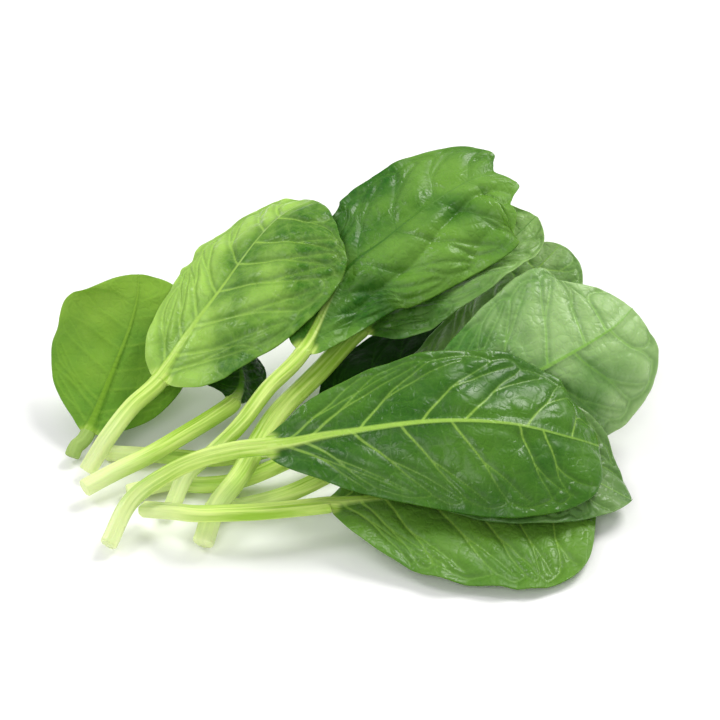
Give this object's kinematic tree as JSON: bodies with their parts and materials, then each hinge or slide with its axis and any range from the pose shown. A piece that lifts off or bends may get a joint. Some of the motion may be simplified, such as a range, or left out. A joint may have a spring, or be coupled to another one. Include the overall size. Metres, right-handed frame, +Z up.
{
  "type": "spinach bunch",
  "caption": "Loose bunch of cut spinach leaves lying in a pile on a surface, pale stems gathered at one end and broad green blades at the other.",
  "frame": {"origin": "middle of the bunch's footprint, on the surface it lies on", "axes": "+X from the cut stems towards the blades, along the pile's length; +Y to the back of the pile; +Z up"},
  "size_m": [0.164, 0.1286, 0.0549],
  "materials": {
    "shaded_leaf": "fresh leaf, waxy and slightly wet on its upper side",
    "back_right_leaf": "fresh leaf, waxy and slightly wet on its upper side",
    "right_leaf": "fresh leaf, waxy and slightly wet on its upper side",
    "lower_top_leaf": "fresh leaf, waxy and slightly wet on its upper side",
    "top_leaf": "fresh leaf, waxy and slightly wet on its upper side",
    "left_leaf": "fresh leaf with its paler, matte underside showing",
    "tucked_leaf": "fresh leaf, waxy and slightly wet on its upper side",
    "upper_left_leaf": "fresh leaf, waxy and slightly wet on its upper side",
    "front_low_leaf": "fresh leaf, waxy and slightly wet on its upper side",
    "right_low_leaf": "fresh leaf, waxy and slightly wet on its upper side",
    "front_leaf": "fresh leaf, waxy and slightly wet on its upper side"
  },
  "bodies": {
    "root": {"shaded_leaf": "shaded_leaf", "back_right_leaf": "back_right_leaf", "right_leaf": "right_leaf", "lower_top_leaf": "lower_top_leaf", "top_leaf": "top_leaf", "left_leaf": "left_leaf", "tucked_leaf": "tucked_leaf", "upper_left_leaf": "upper_left_leaf", "front_low_leaf": "front_low_leaf", "right_low_leaf": "right_low_leaf", "front_leaf": "front_leaf"}
  },
  "joints": []
}
